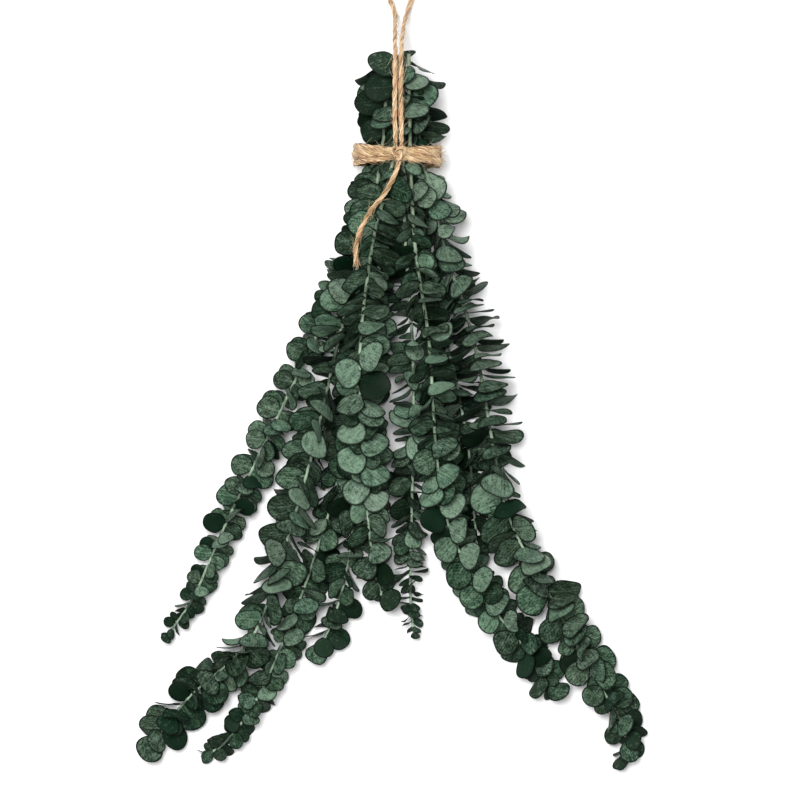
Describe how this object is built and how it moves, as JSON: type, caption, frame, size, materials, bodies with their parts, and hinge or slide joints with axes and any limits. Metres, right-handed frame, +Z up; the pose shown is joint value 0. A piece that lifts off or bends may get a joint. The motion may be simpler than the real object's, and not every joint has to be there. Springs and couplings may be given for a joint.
{
  "type": "eucalyptus branch",
  "caption": "Dried eucalyptus branch bunch: leafy stems with paired round leaves, tied near the cut ends with jute twine that has a hanging loop and a short tail.",
  "frame": {"origin": "under the middle of the bunch, at the surface that it lies on, without the twine's free ends", "axes": "+Y from the leaf tips towards the cut ends and the tie, +X across the bunch, +Z up from the surface"},
  "size_m": [0.3074, 0.4938, 0.0573],
  "materials": {
    "foliage": "satin",
    "twine": "matte"
  },
  "bodies": {
    "root": {"stem_centre": "foliage", "stem_left": "foliage", "stem_right": "foliage", "stem_right_inner": "foliage", "stem_slender": "foliage", "stem_far_left": "foliage", "stem_centre_behind": "foliage", "stem_left_behind": "foliage", "stem_right_behind": "foliage", "twine_band": "twine", "twine_knot": "twine", "twine_loop": "twine", "twine_tail": "twine"}
  },
  "joints": []
}
